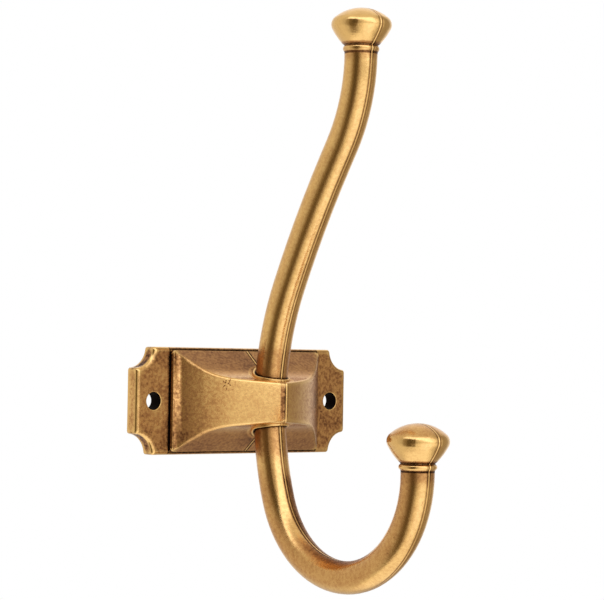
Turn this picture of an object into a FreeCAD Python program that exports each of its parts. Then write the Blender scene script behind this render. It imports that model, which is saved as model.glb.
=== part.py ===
import FreeCAD, Part
import math
import os

# Double robe hook, cast in one piece: a backplate with notched corners, a flared saddle in its
# middle, and a round bar through the saddle that ends in a turned knob at each end.
# Millimetres. The wall is the plane Y = 0, the hook stands out towards -Y, X runs along the plate.

# Backplate
plate_length = 75.8
plate_height = 29.7
plate_thickness = 4.4
plate_edge_radius = 1.1
notch_radius = 5.8
notch_end_radius = 0.8
screw_spacing = 64.0
screw_hole_diameter = 4.8
screw_hole_rim = 0.2

# Saddle, with sizes measured out from the plate's front face
saddle_foot_length = 53.2
saddle_foot_height = 28.0
saddle_foot_rise = 0.9
saddle_corner_radius = 1.5
saddle_projection = 18.7
saddle_face_radius = 62.0
cove_slope = 40.0
cove_straight = 7.8
cove_radius = 11.0
strap_slope = 9.5

# Bar: its middle line lies in the plane X = 0 and is a chain of straights and tangent bends
bar_diameter = 8.96
lower_knob_reach = 71.94
lower_neck_height = -16.25
lower_neck_straight = 1.2
bowl_radius = 28.9
bowl_turn = 160.55
back_radius = 78.3
back_turn = 44.45
shank_radius = 299.3
shank_turn = 7.4
shank_straight = 4.9
top_bend_radius = 45.8
top_neck_straight = 0.3

# Raised lip round each root of the bar, where it leaves the saddle
lip_width = 0.8
lip_rise = 0.6

# Knobs: domed top, round shoulder, swelling underside, groove and sloped bead
top_knob_radius = 8.2
top_underside_turn = 15.6
top_bead_radius = 4.92
lower_knob_radius = 8.45
lower_underside_turn = 16.6
lower_bead_radius = 5.1
dome_radius = 11.3
shoulder_depth = 4.6
shoulder_radius = 2.6
shoulder_wrap = 28.0
underside_radius = 18.0
groove_drop = 0.35
bead_height = 1.85
bead_slope = 0.62

into_wall = FreeCAD.Vector(0, 1, 0)
along_plate = FreeCAD.Vector(1, 0, 0)
upward = FreeCAD.Vector(0, 0, 1)


def place(out, up, along=0.0):
    """A point, given out from the plate's front face, up from its middle and along the plate."""
    return FreeCAD.Vector(along, -plate_thickness - out, up)


def line(start, end):
    return Part.LineSegment(start, end).toShape()


def arc(start, middle, end):
    return Part.Arc(start, middle, end).toShape()


def face_of(edges):
    return Part.Face(Part.Wire(Part.__sortEdges__(edges)))


def prism(face, direction, width):
    """The face pushed to half the width on each side of its own plane."""
    return face.translated(direction * (-width / 2)).extrude(direction * width)


def with_mirror(edges, normal):
    centre = FreeCAD.Vector(0, 0, 0)
    return edges + [edge.mirror(centre, normal) for edge in edges]


def block(length, height, y_from, y_to):
    """A box centred on the plate's middle, between two distances from the wall."""
    corner = FreeCAD.Vector(-length / 2, y_from, -height / 2)
    return Part.makeBox(length, y_to - y_from, height, corner)


def square_edges(solid):
    """The straight edges that stand square to the wall."""
    found = []
    for edge in solid.Edges:
        box = edge.BoundBox
        if box.XLength < 0.01 and box.ZLength < 0.01:
            found.append(edge)
    return found


def front_edges(solid):
    """The edges of the solid's flat front."""
    front = solid.BoundBox.YMin
    return [edge for edge in solid.Edges if edge.BoundBox.YMax < front + 0.01]


# Chains of straights and bends in the plane X = 0, used for the bar and for outlines.
# A step is (length, 0) for a straight or (radius, turn) for a bend. Heading 0 points out
# from the wall, heading 90 points up, and a turn above zero goes from the first to the second.
def pointing(heading):
    angle = math.radians(heading)
    return FreeCAD.Vector(0, -math.cos(angle), math.sin(angle))


def bend_centre(point, heading, radius, turn):
    return point + pointing(heading + math.copysign(90, turn)) * radius


def chain(start, heading, steps):
    """The edges of the chain and the point where it ends."""
    edges = []
    point = start
    for size, turn in steps:
        if turn == 0:
            end = point + pointing(heading) * size
            edges.append(line(point, end))
        else:
            centre = bend_centre(point, heading, size, turn)
            side = heading - math.copysign(90, turn)
            end = centre + pointing(side + turn) * size
            edges.append(arc(point, centre + pointing(side + turn / 2) * size, end))
        point = end
        heading = heading + turn
    return edges, point


def sweep(section, start, heading, steps):
    """The section carried along the chain: straights are extruded and bends are revolved."""
    solids = []
    point = start
    for size, turn in steps:
        if turn == 0:
            travel = pointing(heading) * size
            solids.append(section.extrude(travel))
            section = section.translated(travel)
            point = point + travel
        else:
            centre = bend_centre(point, heading, size, turn)
            side = heading - math.copysign(90, turn)
            solids.append(section.revolve(centre, along_plate * -1, turn))
            section = section.copy()
            section.rotate(centre, along_plate * -1, turn)
            point = centre + pointing(side + turn) * size
        heading = heading + turn
    return solids


# Backplate: a slab with a quarter-round bite out of each corner and a screw hole at each end
def backplate():
    plate = block(plate_length, plate_height, -plate_thickness, 0)
    for side in (-1, 1):
        for end in (-1, 1):
            corner = place(1, end * plate_height / 2, side * plate_length / 2)
            plate = plate.cut(Part.makeCylinder(notch_radius, plate_thickness + 2, corner, into_wall))
    plate = plate.makeFillet(notch_end_radius, square_edges(plate))
    return plate.makeFillet(plate_edge_radius, front_edges(plate))


def screw_hole(along):
    """A clearance hole through the plate, its front rim broken by a small cone."""
    radius = screw_hole_diameter / 2
    bore = Part.makeCylinder(radius, plate_thickness + 2, place(1, 0, along), into_wall)
    rim = Part.makeCone(radius + screw_hole_rim, radius, screw_hole_rim, place(0, 0, along), into_wall)
    return bore.fuse(rim)


# Saddle: bowed faces seen from above, and a cove above and below the strap seen from the side
def plan_face():
    """The saddle seen from above, on the plane Z = 0: its two faces bow out to a blunt ridge."""
    half = saddle_foot_length / 2
    root = -plate_thickness / 2
    foot = place(saddle_foot_rise, 0, half)
    ridge = place(saddle_projection, 0)
    chord = ridge - foot
    bow = saddle_face_radius - math.sqrt(saddle_face_radius ** 2 - chord.Length ** 2 / 4)
    outward = FreeCAD.Vector(-chord.y, chord.x, 0).normalize()
    edges = [line(place(root, 0), place(root, 0, half)),
             line(place(root, 0, half), foot),
             arc(foot, (foot + ridge) * 0.5 + outward * bow, ridge)]
    return face_of(with_mirror(edges, along_plate))


def side_face():
    """The saddle seen along the plate, on the plane X = 0: foot, sloping coves, tapered strap."""
    half = saddle_foot_height / 2
    root = -plate_thickness / 2
    foot = place(saddle_foot_rise, half)
    steps = [(cove_straight, 0), (cove_radius, cove_slope - strap_slope)]
    edges, strap = chain(foot, -cove_slope, steps)
    run = (strap.y + plate_thickness + saddle_projection) / math.cos(math.radians(strap_slope))
    front = strap + pointing(-strap_slope) * run
    edges += [line(place(root, 0), place(root, half)),
              line(place(root, half), foot),
              line(strap, front),
              line(front, place(saddle_projection, 0))]
    return face_of(with_mirror(edges, upward))


def saddle():
    foot = block(saddle_foot_length, saddle_foot_height, -plate_thickness - saddle_projection, 0)
    foot = foot.makeFillet(saddle_corner_radius, square_edges(foot))
    bowed = prism(plan_face(), upward, saddle_foot_height)
    coved = prism(side_face(), along_plate, saddle_foot_length)
    return foot.common(bowed).common(coved)


# Bar
def bar_start():
    return place(lower_knob_reach, lower_neck_height)


def bar_steps():
    top_turn = bowl_turn + back_turn + shank_turn - 180
    return [(lower_neck_straight, 0), (bowl_radius, -bowl_turn), (back_radius, -back_turn),
            (shank_radius, -shank_turn), (shank_straight, 0), (top_bend_radius, top_turn),
            (top_neck_straight, 0)]


def bar_end():
    return chain(bar_start(), -90, bar_steps())[1]


def round_bar(diameter):
    ring = Part.makeCircle(diameter / 2, bar_start(), upward)
    return sweep(Part.Face(Part.Wire(ring)), bar_start(), -90, bar_steps())


def lips():
    """Each root of the bar has a narrow raised rim that follows the cove."""
    sleeve = round_bar(bar_diameter + 2 * lip_width)[2]
    return sleeve.common(prism(side_face().makeOffset2D(lip_rise), along_plate, saddle_foot_length))


# Knobs
def knob_face(neck, knob_radius, underside_turn, bead_radius):
    """Half of the knob's outline, from its tip round to the neck, on the plane X = 0."""
    rise = dome_radius - shoulder_depth
    dome_turn = math.degrees(math.atan2(knob_radius - shoulder_radius, rise))
    steps = [(dome_radius, -dome_turn),
             (shoulder_radius, dome_turn - 90 - shoulder_wrap),
             (underside_radius, -underside_turn)]
    tip = FreeCAD.Vector(0, 0, 0)
    edges, under = chain(tip, 0, steps)
    groove = FreeCAD.Vector(0, -bar_diameter / 2, under.z - groove_drop)
    bead_top = FreeCAD.Vector(0, -bead_radius, groove.z - bead_slope)
    bead_bottom = FreeCAD.Vector(0, -bead_radius, groove.z - bead_height + bead_slope)
    base = FreeCAD.Vector(0, -bar_diameter / 2, groove.z - bead_height)
    middle = FreeCAD.Vector(0, 0, base.z)
    edges += [line(under, groove),
              line(groove, bead_top),
              line(bead_top, bead_bottom),
              line(bead_bottom, base),
              line(base, middle),
              line(middle, tip)]
    return face_of(edges).translated(neck - middle)


def knob(neck, knob_radius, underside_turn, bead_radius):
    return knob_face(neck, knob_radius, underside_turn, bead_radius).revolve(neck, upward, 360)


def hook_casting():
    body = backplate().fuse([saddle(), lips()])
    body = body.fuse(round_bar(bar_diameter))
    body = body.fuse([knob(bar_end(), top_knob_radius, top_underside_turn, top_bead_radius),
                      knob(bar_start(), lower_knob_radius, lower_underside_turn, lower_bead_radius)])
    for side in (-1, 1):
        body = body.cut(screw_hole(side * screw_spacing / 2))
    return body.removeSplitter()


os.makedirs("parts", exist_ok=True)
casting = hook_casting()
if len(casting.Solids) == 1:
    casting = casting.Solids[0]
casting.exportStep("parts/hook_casting.step")
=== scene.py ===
import math
import bmesh
import bpy
from mathutils import Euler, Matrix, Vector


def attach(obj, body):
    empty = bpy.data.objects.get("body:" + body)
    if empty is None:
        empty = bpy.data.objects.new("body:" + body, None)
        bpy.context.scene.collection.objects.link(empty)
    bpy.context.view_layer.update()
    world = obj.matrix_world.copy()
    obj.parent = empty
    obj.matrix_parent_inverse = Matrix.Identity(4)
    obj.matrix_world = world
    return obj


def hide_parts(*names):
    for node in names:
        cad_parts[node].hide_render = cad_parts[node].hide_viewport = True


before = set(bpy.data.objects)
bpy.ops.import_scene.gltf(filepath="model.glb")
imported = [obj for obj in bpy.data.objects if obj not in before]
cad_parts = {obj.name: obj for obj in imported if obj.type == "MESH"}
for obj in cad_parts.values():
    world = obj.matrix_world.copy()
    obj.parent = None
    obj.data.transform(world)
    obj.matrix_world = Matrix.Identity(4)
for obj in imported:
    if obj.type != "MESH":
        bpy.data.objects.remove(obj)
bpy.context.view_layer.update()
scene = bpy.context.scene
scene.view_settings.view_transform = "Standard"

# Camera: a long lens at the plate's own height, 40 degrees to the left of the bar.
camera_data = bpy.data.cameras.new("camera")
camera_data.sensor_width = 36.0
camera_data.lens = 154.28
camera = bpy.data.objects.new("camera", camera_data)
camera.location = (-0.46237, -0.57006, 0.01474)
camera.rotation_euler = Euler([math.radians(angle) for angle in (91.1, -1.0, -40.519)])
scene.collection.objects.link(camera)
scene.camera = camera

# Room: white to the camera, and a soft grey light on everything in it. The polished metal sees a studio:
# bright in front and behind, a soft box above the front left, a dark gap to the left, a dull right side and
# a dark line where the floor in front meets the wall. Its dark tones are warm and its brightest are cool.
room = bpy.data.worlds.new("studio_room")
room.use_nodes = True
scene.world = room
tree = room.node_tree

# degrees to the right of straight in front, and the tone there
wall_tones = ((-180, 0.75), (-156, 0.78), (-129, 0.74), (-108, 0.58), (-92, 0.27), (-78, 0.11), (-62, 0.11),
              (-52, 0.31), (-41, 0.76), (-28, 1.1), (0, 1.25), (13, 1.15), (34, 0.75), (50, 0.48),
              (62, 0.38), (88, 0.39), (122, 1.05), (150, 0.98), (180, 0.75))
ground_tones = ((-180, 0.75), (-125, 0.8), (-108, 0.62), (-96, 0.28), (-80, 0.13), (-68, 0.17), (-57, 0.52),
                (-42, 0.95), (-15, 1.35), (13, 1.3), (28, 0.95), (42, 0.55), (60, 0.4), (96, 0.36),
                (120, 0.5), (180, 0.75))
soft_box_tone = 1.65
ceiling_tone = 0.82
underfoot_tone = 1.15
floor_line_darkness = 0.4
soft_light_tone = 0.7
white = (1, 1, 1, 1)
warm = (1, 0.8, 0.5, 1)
cool = (1, 1.1, 1.35, 1)


def feed(socket, source):
    """Links the source to the socket, or sets the socket where the source is a plain value."""
    if isinstance(source, bpy.types.NodeSocket):
        tree.links.new(source, socket)
    else:
        socket.default_value = source


def maths(operation, first, second=0.0, clamp=False):
    node = tree.nodes.new("ShaderNodeMath")
    node.operation = operation
    node.use_clamp = clamp
    feed(node.inputs[0], first)
    feed(node.inputs[1], second)
    return node.outputs[0]


def product(first, *others):
    for other in others:
        first = maths("MULTIPLY", first, other)
    return first


def between(value, low, high, out_low=0.0, out_high=1.0):
    """The value's place between low and high, with soft ends."""
    node = tree.nodes.new("ShaderNodeMapRange")
    node.interpolation_type = "SMOOTHSTEP"
    for socket, source in zip(node.inputs, (value, low, high, out_low, out_high)):
        feed(socket, source)
    return node.outputs[0]


def over(value, low, high):
    """0 up to low, and 1 from high."""
    return between(value, low, high)


def under(value, low, high):
    """1 up to low, and 0 from high."""
    return between(value, low, high, 1.0, 0.0)


def within(value, low, high, soft):
    """1 from low to high, and 0 past the soft ends."""
    return product(over(value, low - soft, low), under(value, high, high + soft))


def outside(mask, share=1.0):
    """1 outside the mask, and less by the share inside it."""
    return maths("SUBTRACT", 1.0, maths("MULTIPLY", mask, share))


def blend(share, first, second):
    """A value that goes from the first to the second as the share goes from 0 to 1."""
    node = tree.nodes.new("ShaderNodeMix")
    feed(node.inputs[0], share)
    feed(node.inputs[2], first)
    feed(node.inputs[3], second)
    return node.outputs[0]


def blend_colours(share, first, second):
    node = tree.nodes.new("ShaderNodeMix")
    node.data_type = "RGBA"
    feed(node.inputs["Factor"], share)
    feed(node.inputs["A"], first)
    feed(node.inputs["B"], second)
    return node.outputs["Result"]


def colour_ramp(value, colours):
    """The colour at the value, from pairs of a value and its colour."""
    ramp = tree.nodes.new("ShaderNodeValToRGB")
    feed(ramp.inputs["Fac"], value)
    stops = ramp.color_ramp.elements
    for index, (place, colour) in enumerate(colours):
        if index < 2:
            stops[index].position = place
        else:
            stops.new(place)
        stops[index].color = colour
    return ramp.outputs["Color"]


def tones_round(tones):
    """How bright the room is at each turn."""
    return colour_ramp(turn, [(degrees / 360 + 0.5, (tone, tone, tone, 1)) for degrees, tone in tones])


def background(strength, colour=white):
    node = tree.nodes.new("ShaderNodeBackground")
    feed(node.inputs["Color"], colour)
    feed(node.inputs["Strength"], strength)
    return node.outputs[0]


def choose(share, first, second):
    node = tree.nodes.new("ShaderNodeMixShader")
    for socket, source in zip(node.inputs, (share, first, second)):
        feed(socket, source)
    return node.outputs[0]


ahead = tree.nodes.new("ShaderNodeSeparateXYZ")
feed(ahead.inputs[0], tree.nodes.new("ShaderNodeTexCoord").outputs["Generated"])
rightward, backward, upward = ahead.outputs
turn = maths("ARCTAN2", rightward, maths("MULTIPLY", backward, -1.0))
turn = maths("ADD", maths("DIVIDE", turn, 2 * math.pi), 0.5)
studio = blend(over(upward, -0.45, -0.15), tones_round(ground_tones), tones_round(wall_tones))
floor_line = product(within(upward, -0.08, -0.03, 0.06), within(turn, 0.4, 0.6, 0.08))
studio = product(studio, outside(floor_line, floor_line_darkness))
above_box_edge = maths("ADD", maths("MULTIPLY", upward, 0.82), maths("MULTIPLY", rightward, 0.57))
soft_box = product(over(above_box_edge, 0.02, 0.08), within(turn, 0.22, 0.52, 0.04))
studio = blend(soft_box, studio, soft_box_tone)
studio = blend(over(upward, 0.75, 0.9), studio, ceiling_tone)
studio = blend(under(upward, -0.92, -0.76), studio, underfoot_tone)
studio_colour = blend_colours(over(studio, 0.1, 0.6), warm, white)
studio_colour = blend_colours(over(studio, 0.9, 1.5), studio_colour, cool)
ray = tree.nodes.new("ShaderNodeLightPath").outputs
mirrored = maths("MAXIMUM", ray["Is Glossy Ray"], ray["Is Transmission Ray"])
around = choose(mirrored, background(soft_light_tone), background(studio, studio_colour))
seen = choose(ray["Is Camera Ray"], around, background(1.0))
feed(tree.nodes["World Output"].inputs["Surface"], seen)

# Floor: a white sheet well below the hook, which hangs free.
floor_paint = bpy.data.materials.new("pale_floor")
floor_paint.use_nodes = True
floor_shader = floor_paint.node_tree.nodes["Principled BSDF"]
floor_shader.inputs["Base Color"].default_value = (0.85, 0.85, 0.85, 1)
floor_shader.inputs["Roughness"].default_value = 0.8
floor_shader.inputs["Specular IOR Level"].default_value = 0.2
bpy.ops.object.select_all(action="DESELECT")
bpy.ops.mesh.primitive_plane_add(size=1.9, location=(0, 0, -0.2))
floor = bpy.context.object
floor.name = "floor"
floor.data.materials.append(floor_paint)
floor.visible_glossy = False

# Front light: a large soft box in front of the hook, from its own height to well above it.
front_place = Vector((-0.27, -1.22, 0.84))
front_data = bpy.data.lights.new("front_light", "AREA")
front_data.shape = "RECTANGLE"
front_data.size = 1.85
front_data.size_y = 1.8
front_data.energy = 11.5
front_light = bpy.data.objects.new("front_light", front_data)
front_light.location = front_place
front_light.visible_glossy = False
front_light.rotation_euler = (-front_place).to_track_quat("-Z", "Y").to_euler()
scene.collection.objects.link(front_light)

# Hook casting: the plate, the saddle, the bar and both knobs are one piece of brass. It was cast in a
# two-part mould, tumbled smooth, dipped in a brown patina and rubbed back, so that the hollows stay
# dark, the flats are mottled and the edges are bright.

# rounded sizes of the solid that the wear and the patina follow: y is minus the distance from the wall
plate_front = -0.0044
notch_centre = (0.0379, 0.01485)
notch_radius = 0.0058
screw_place = 0.032
screw_radius = 0.0024
foot_end = 0.0266
foot_side = 0.0140
foot_corner = 0.0016
ridge = -0.0231
cove_facing = (0.766, 0.643)
bar_radius = 0.0045
lip_radius = 0.0053
lip_start = 0.006
back_bend_axis = (-0.09402, -0.001)
back_bend_radius = 0.0783
bowl_axis = (-0.04744, -0.01745)
upper_knob_foot = 0.09
upper_neck = 0.0948
upper_groove = 0.0970
lower_knob_side = -0.067
lower_neck = -0.0164
lower_groove = -0.0142

# how far the tumbling has rounded the sharp edges
arris_wear = 0.0006
edge_wear = 0.0004
knob_wear = 0.00022
lip_wear = 0.00015

# the parting line: its cuts on each side of the middle, and the channels between them
line_cuts = (0.00016, 0.00028, 0.0005, 0.00075)
channel_from = 0.0002
channel_to = 0.0006
channel_depth = 0.00007
line_back = -0.0046

same_point = 0.000001
sliver_width = 0.00001
flat_angle = math.radians(0.05)
sharp_angle = math.radians(30)
smooth_angle = math.radians(60)

bpy.ops.object.select_all(action="DESELECT")
casting = bpy.data.objects.new("brass_casting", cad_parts["hook_casting"].data.copy())
scene.collection.objects.link(casting)
bpy.context.view_layer.objects.active = casting
casting.select_set(True)
bpy.ops.object.mode_set(mode="EDIT")
bpy.ops.mesh.customdata_custom_splitnormals_clear()
bpy.ops.mesh.select_all(action="SELECT")
bpy.ops.mesh.remove_doubles(threshold=same_point)
bpy.ops.mesh.dissolve_limited(angle_limit=flat_angle, delimit=set())
bpy.ops.object.mode_set(mode="OBJECT")


def on_knob(place):
    return place.z > upper_knob_foot or place.y < lower_knob_side


def on_lip(place):
    axis_y, axis_z = back_bend_axis
    off_bend = math.hypot(place.y - axis_y, place.z - axis_z) - back_bend_radius
    near_bar = math.hypot(off_bend, place.x) < lip_radius + 0.0003
    return near_bar and lip_start < abs(place.z) < foot_side and place.y < plate_front - 0.0006


def by_screw_hole(place):
    return math.hypot(abs(place.x) - screw_place, place.z) < 1.5 * screw_radius


def on_arris(place):
    off_foot = abs(place.x) < foot_end - 0.0004 and abs(place.z) < foot_side - 0.0002
    return off_foot and ridge - 0.0009 < place.y < plate_front - 0.0022


def on_foot_corner(place):
    in_corner = abs(place.x) > foot_end - foot_corner and abs(place.z) > foot_side - foot_corner
    return in_corner and place.y < plate_front - 0.0002


def wear(edge):
    """How far an edge is rounded. Hollow edges are only softened on the knobs."""
    place = (edge.verts[0].co + edge.verts[1].co) / 2
    if edge.calc_face_angle() < sharp_angle:
        return 0.0
    if on_knob(place):
        return knob_wear
    if by_screw_hole(place) or on_foot_corner(place) or not edge.is_convex:
        return 0.0
    if on_lip(place):
        return lip_wear
    return arris_wear if on_arris(place) else edge_wear


shape = bmesh.new()
shape.from_mesh(casting.data)
weights = shape.edges.layers.float.new("bevel_weight_edge")
for edge in shape.edges:
    edge[weights] = wear(edge) / arris_wear
shape.to_mesh(casting.data)
shape.free()
rounding = casting.modifiers.new("rounding", "BEVEL")
rounding.limit_method = "WEIGHT"
rounding.width = arris_wear
rounding.segments = 3
rounding.use_clamp_overlap = False
bpy.ops.object.modifier_apply(modifier="rounding")

# the parting line is a fine crest down the middle, with a shallow channel on each side
bpy.ops.object.mode_set(mode="EDIT")
for cut in line_cuts:
    for side in (-1, 1):
        bpy.ops.mesh.select_all(action="SELECT")
        bpy.ops.mesh.bisect(plane_co=(side * cut, 0, 0), plane_no=(1, 0, 0))
bpy.ops.mesh.select_mode(type="VERT")
bpy.ops.mesh.select_all(action="DESELECT")
bpy.ops.object.mode_set(mode="OBJECT")
for point in casting.data.vertices:
    point.select = channel_from < abs(point.co.x) < channel_to and point.co.y < line_back
bpy.ops.object.mode_set(mode="EDIT")
bpy.ops.transform.shrink_fatten(value=-channel_depth)
bpy.ops.mesh.select_all(action="SELECT")
bpy.ops.mesh.dissolve_limited(angle_limit=flat_angle, delimit=set())
bpy.ops.mesh.dissolve_degenerate(threshold=sliver_width)
bpy.ops.object.mode_set(mode="OBJECT")
bpy.ops.object.shade_smooth_by_angle(angle=smooth_angle)
even = casting.modifiers.new("even_shading", "WEIGHTED_NORMAL")
even.mode = "FACE_AREA_WITH_ANGLE"
even.keep_sharp = True
bpy.ops.object.modifier_apply(modifier="even_shading")
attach(casting, "root")
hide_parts("hook_casting")

brass = bpy.data.materials.new("antique_brass")
brass.use_nodes = True
tree = brass.node_tree
shader = tree.nodes["Principled BSDF"]


def mottle(size, detail, roughness, swirl=0.0):
    """Cloudy noise whose blotches are about this size in metres."""
    node = tree.nodes.new("ShaderNodeTexNoise")
    feed(node.inputs["Vector"], place_on_hook)
    feed(node.inputs["Scale"], 1 / size)
    feed(node.inputs["Detail"], detail)
    feed(node.inputs["Roughness"], roughness)
    feed(node.inputs["Distortion"], swirl)
    return node.outputs["Fac"]


def shelter(distance, inside=False):
    """0 in the open, 1 deep in a hollow, or near a sharp edge where inside is set."""
    node = tree.nodes.new("ShaderNodeAmbientOcclusion")
    node.samples = 8
    node.inside = inside
    node.only_local = True
    feed(node.inputs["Distance"], distance)
    return maths("SUBTRACT", 1.0, node.outputs["AO"])


def out_from(first, second, axis):
    """The distance from an axis, given by its places on the two values."""
    first_part = maths("SUBTRACT", first, axis[0])
    second_part = maths("SUBTRACT", second, axis[1])
    return maths("SQRT", maths("ADD", product(first_part, first_part), product(second_part, second_part)))


def total(*parts):
    """The sum of the masks, each with its weight."""
    result = 0.0
    for mask, weight in parts:
        result = maths("ADD", maths("MULTIPLY", mask, weight), result)
    return result


# x runs along the plate, y into the wall and z up
place_on_hook = tree.nodes.new("ShaderNodeTexCoord").outputs["Object"]
axes = tree.nodes.new("ShaderNodeSeparateXYZ")
feed(axes.inputs[0], place_on_hook)
x, y, z = axes.outputs
off_centre = maths("ABSOLUTE", x)
off_middle = maths("ABSOLUTE", z)
on_front = under(y, plate_front - 0.0004, plate_front)
near_wall = over(y, -0.021, -0.006)
# painted shade: the right half near the wall is darker, as it is turned away from the front light
shaded_right_side = product(over(x, 0.0005, 0.004), over(y, -0.030, -0.024))

# bowl: dull on its flanks and inside
in_bowl = under(z, -0.022, -0.017)
from_bowl_axis = out_from(y, z, bowl_axis)
flanks = product(over(off_centre, 0.0034, 0.0043), in_bowl)
low_or_right = maths("MAXIMUM", under(z, -0.040, -0.035), over(x, -0.0012, -0.0002))
inside_bowl = product(under(from_bowl_axis, 0.0246, 0.0266), low_or_right, in_bowl)

# parting line: rubbed bright, with patina in both its channels and left of it on the saddle's ridge
crest = product(under(off_centre, 0.00018, 0.00030), on_front)
channels = product(under(off_centre, 0.0003, 0.0009), on_front)
channel_lines = product(within(off_centre, 0.00036, 0.00052, soft=0.00012), on_front, outside(in_bowl, 0.6))
left_of_line = product(within(x, -0.0017, -0.0005, soft=0.00022), under(off_middle, 0.0066, 0.0072),
                       within(y, ridge - 0.0003, ridge + 0.0016, soft=0.0003))

# screw holes: black inside, with a thin worn rim
from_screw = out_from(off_centre, off_middle, (screw_place, 0.0))
in_screw_holes = under(from_screw, screw_radius + 0.00003, screw_radius + 0.00012)
screw_rims = within(from_screw, screw_radius + 0.00015, screw_radius + 0.0003, soft=0.0001)
off_screw_holes = over(from_screw, screw_radius + 0.0004, screw_radius + 0.0021)

# plate: rubbed on its rim and side, and dark in its notches
plate_rim = within(y, plate_front + 0.0003, plate_front + 0.0008, soft=0.0002)
plate_side = over(y, plate_front + 0.0008, plate_front + 0.0013)
from_notch = out_from(off_centre, off_middle, notch_centre)
notches = product(under(from_notch, notch_radius + 0.0002, notch_radius + 0.0006),
                  over(y, plate_front + 0.0007, plate_front + 0.0012))

# saddle's foot: a dark line all round it, and a dull edge on the left
foot_ends = within(off_centre, foot_end, foot_end + 0.0002, soft=0.00015)
foot_rows = product(over(off_middle, foot_side - 0.0001, foot_side + 0.0002),
                    under(off_centre, foot_end, foot_end + 0.0004), 0.6)
foot_lines = product(maths("MAXIMUM", foot_ends, foot_rows),
                     within(y, plate_front - 0.0003, plate_front + 0.0004, soft=0.0003))
foot_walls = product(within(off_centre, foot_end - 0.0004, foot_end + 0.0002, soft=0.0003),
                     within(y, plate_front - 0.0012, plate_front - 0.0004, soft=0.0003))
left_foot = product(within(x, -foot_end - 0.0002, -foot_end + 0.0014, soft=0.0003),
                    within(y, plate_front - 0.0020, plate_front - 0.0004, soft=0.0003),
                    under(off_middle, foot_side - 0.0014, foot_side - 0.0008))

# knobs: rubbed bright, dark grooves above the beads, dark necks, painted shade under the beads, a duller
# lower dome
on_lower_knob = under(y, lower_knob_side - 0.001, lower_knob_side + 0.001)


def on_both_knobs(lower, upper):
    return maths("ADD", product(lower, on_lower_knob), upper)


grooves = on_both_knobs(within(z, lower_groove - 0.0003, lower_groove + 0.0003, soft=0.0005),
                        within(z, upper_groove - 0.0003, upper_groove + 0.0003, soft=0.0005))
necks = on_both_knobs(within(z, lower_neck - 0.0002, lower_neck + 0.0002, soft=0.0003),
                      within(z, upper_neck - 0.0002, upper_neck + 0.0002, soft=0.0003))
# painted shade: the bar is darker just under each bead, where the knob shades it
shade_under_lower_bead = product(within(z, lower_neck - 0.0011, lower_neck + 0.0001, soft=0.004),
                           under(z, lower_neck - 0.0001, lower_neck + 0.0004))
shade_under_upper_bead = product(within(z, upper_neck - 0.0006, upper_neck + 0.0002, soft=0.002), 0.5)
shade_under_beads = on_both_knobs(shade_under_lower_bead, shade_under_upper_bead)
knobs = on_both_knobs(over(z, lower_neck + 0.0009, lower_neck + 0.0019),
                      over(z, upper_neck + 0.0009, upper_neck + 0.0019))
lower_dome = product(over(z, lower_neck + 0.0079, lower_neck + 0.0099), on_lower_knob)

# bar's roots: dull, with a rough lip round each
off_bend = maths("SUBTRACT", out_from(y, z, back_bend_axis), back_bend_radius)
from_bar = out_from(off_bend, x, (0.0, 0.0))
off_bar = over(from_bar, bar_radius + 0.0005, bar_radius + 0.0011)
by_saddle = within(off_middle, 0.0070, 0.0130, soft=0.004)
roots = product(under(from_bar, bar_radius, bar_radius + 0.0003), by_saddle)
lips = product(within(from_bar, lip_radius - 0.0004, lip_radius + 0.0001, soft=0.0003), by_saddle)
lip_sides = product(within(from_bar, lip_radius - 0.0003, lip_radius + 0.0009, soft=0.0004), by_saddle)
lip_feet = product(within(from_bar, lip_radius + 0.0002, lip_radius + 0.0009, soft=0.0006), by_saddle)

# saddle and plate behind the ridge: cloudier than the bar, but smooth on the coves, and duller on the left
behind_ridge = product(over(from_bar, lip_radius + 0.0003, lip_radius + 0.0013),
                       over(y, ridge - 0.0005, ridge - 0.0001))
square_to_cove = maths("SUBTRACT", product(off_middle, cove_facing[0]), product(y, cove_facing[1]))
coves = product(over(square_to_cove, 0.0138, 0.0140), within(y, -0.0145, -0.0052, soft=0.0006), off_bar)
left_coves = product(under(x, -0.002, 0.0), over(off_middle, 0.0076, 0.0090), over(y, -0.021, -0.018),
                     off_bar)

pit_patch_middle = (-0.0148, 0.0049)
blotches = mottle(size=0.007, detail=3.0, roughness=0.6, swirl=0.4)
ripples = mottle(size=0.0026, detail=2.0, roughness=0.5)
specks = mottle(size=0.0008, detail=4.0, roughness=0.6)
grain = mottle(size=0.00035, detail=3.0, roughness=0.6)
pits = over(mottle(size=0.0009, detail=1.0, roughness=0.5), 0.68, 0.76)
fine_pits = over(mottle(size=0.0006, detail=0.0, roughness=0.5), 0.56, 0.66)
from_pit_patch = out_from(x, z, pit_patch_middle)
pit_patch = product(fine_pits, under(from_pit_patch, 0.0010, 0.0024), behind_ridge)
crevices = product(over(shelter(distance=0.002), 0.14, 0.42), outside(lip_sides, 0.6))
# painted shade: broad darkening wherever other parts of the casting are near, as shade falls there
broad_painted_shade = over(shelter(distance=0.008), 0.12, 0.6)
sharp_edges = over(shelter(distance=0.002, inside=True), 0.1, 0.28)
edges = product(sharp_edges, off_screw_holes, outside(left_foot))
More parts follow.
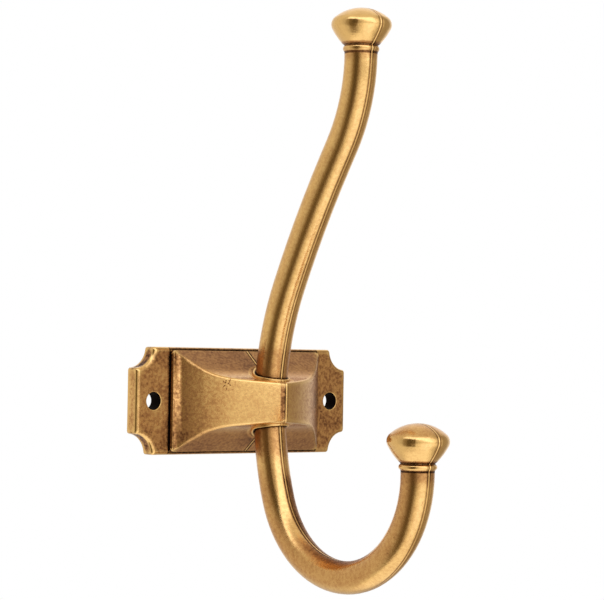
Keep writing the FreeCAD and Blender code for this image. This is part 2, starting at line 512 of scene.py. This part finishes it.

# patina with painted shade added, from 0 where the brass is bare to 1 where it is black
clouds = total((over(blotches, 0.3, 0.7), 0.35), (over(specks, 0.35, 0.65), 0.65))
cloudiness = total((between(near_wall, 0.0, 1.0, 0.22, 0.42), 1.0), (behind_ridge, 0.08),
                   (left_of_line, 0.15), (coves, -0.22))
patina_and_shade = total((product(clouds, cloudiness), 1.0),
               (near_wall, 0.22), (shaded_right_side, 0.12), (behind_ridge, -0.04),
               (coves, 0.12), (left_coves, 0.12),
               (broad_painted_shade, 0.25), (crevices, 0.8), (edges, -0.75), (pits, 0.14), (pit_patch, 0.6),
               (crest, -0.65), (channels, 0.25), (channel_lines, 0.3), (left_of_line, 0.38),
               (foot_lines, 1.1), (foot_walls, -0.05),
               (plate_rim, -0.5), (plate_side, -0.14), (notches, 0.3),
               (in_screw_holes, 1.5), (screw_rims, -0.35),
               (knobs, -0.1), (lower_dome, 0.24), (grooves, 0.5), (necks, 0.5), (shade_under_beads, 0.3),
               (roots, 0.25), (lips, -0.15), (lip_feet, -0.3), (flanks, 0.2), (inside_bowl, 0.53))
patina_and_shade = maths("ADD", patina_and_shade, 0.0, clamp=True)

film_colours = ((0.0, (0.9, 0.545, 0.185, 1)),
                (0.35, (0.62, 0.31, 0.098, 1)),
                (0.6, (0.36, 0.155, 0.05, 1)),
                (0.8, (0.13, 0.05, 0.016, 1)),
                (1.0, (0.012, 0.005, 0.002, 1)))
dullness = total((between(patina_and_shade, 0.0, 0.8, 0.13, 0.42), 1.0), (over(patina_and_shade, 0.85, 1.0), 0.35),
                 (grain, 0.08), (lip_sides, 0.2))
relief = total((grain, 0.000016), (specks, 0.000022), (ripples, 0.000025), (product(specks, lips), 0.00006))
bump = tree.nodes.new("ShaderNodeBump")
feed(bump.inputs["Distance"], 1.0)
feed(bump.inputs["Strength"], 1.0)
feed(bump.inputs["Height"], relief)
feed(shader.inputs["Base Color"], colour_ramp(patina_and_shade, film_colours))
feed(shader.inputs["Metallic"], 1.0)
feed(shader.inputs["Roughness"], dullness)
feed(shader.inputs["Normal"], bump.outputs["Normal"])
casting.data.materials.clear()
casting.data.materials.append(brass)
